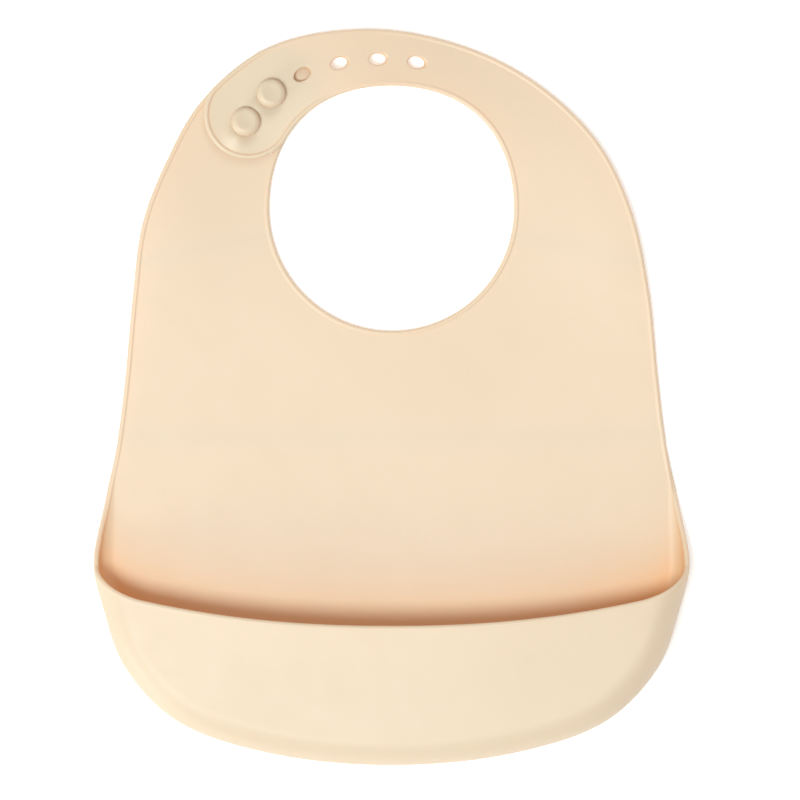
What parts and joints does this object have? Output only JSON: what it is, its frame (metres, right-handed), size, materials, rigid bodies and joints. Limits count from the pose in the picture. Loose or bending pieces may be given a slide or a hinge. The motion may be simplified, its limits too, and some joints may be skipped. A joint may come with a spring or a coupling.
{
  "type": "silicone baby bib",
  "caption": "Soft silicone baby bib with a crumb-catching pocket and a neck ring closed by mushroom studs in a row of holes.",
  "frame": {"origin": "bottom centre of the bib's box, on the surface it lies on", "axes": "+Y towards the neck strap, +Z out of the front face, +X to the right seen from the front"},
  "size_m": [0.241, 0.2979, 0.0253],
  "materials": {
    "silicone": "matte"
  },
  "bodies": {
    "lower_bib": {"lower_panel": "silicone", "pocket_base": "silicone", "pocket_wall_left": "silicone", "pocket_wall_right": "silicone", "apron_rim_left": "silicone", "apron_rim_right": "silicone"},
    "pocket_front": {"pocket_front_wall": "silicone", "pocket_lip": "silicone"},
    "chest": {"chest_panel": "silicone", "chest_rim_left": "silicone", "chest_rim_right": "silicone", "neck_rim": "silicone"},
    "hole_strap": {"hole_strap_band": "silicone", "hole_strap_rim": "silicone"},
    "stud_strap": {"stud_strap_band": "silicone", "stud_strap_rim": "silicone", "stud_1": "silicone", "stud_2": "silicone"}
  },
  "joints": [
    {"name": "chest_fold", "type": "hinge", "parent": "lower_bib", "child": "chest", "pos_m": [0, 0.003, 0.0028], "axis": [1, 0, 0], "range_deg": [0, 90], "stiffness_Nm_per_rad": 0.02},
    {"name": "hole_strap_lift", "type": "hinge", "parent": "chest", "child": "hole_strap", "pos_m": [0, 0.0763, 0.0028], "axis": [1, 0, 0], "range_deg": [0, 100], "stiffness_Nm_per_rad": 0.02},
    {"name": "stud_strap_lift", "type": "hinge", "parent": "chest", "child": "stud_strap", "pos_m": [0, 0.0763, 0.0028], "axis": [1, 0, 0], "range_deg": [0, 20], "stiffness_Nm_per_rad": 0.02, "deforming": ["stud_1", "stud_2"]},
    {"name": "pocket_flex", "type": "hinge", "parent": "lower_bib", "child": "pocket_front", "pos_m": [0, -0.142, 0.004], "axis": [1, 0, 0], "range_deg": [-12, 12], "stiffness_Nm_per_rad": 0.4, "deforming": ["pocket_base", "pocket_wall_left", "pocket_wall_right"]}
  ],
  "couplings": [
    {"joint": "stud_strap_lift", "follows": "hole_strap_lift", "ratio": 0.2}
  ]
}
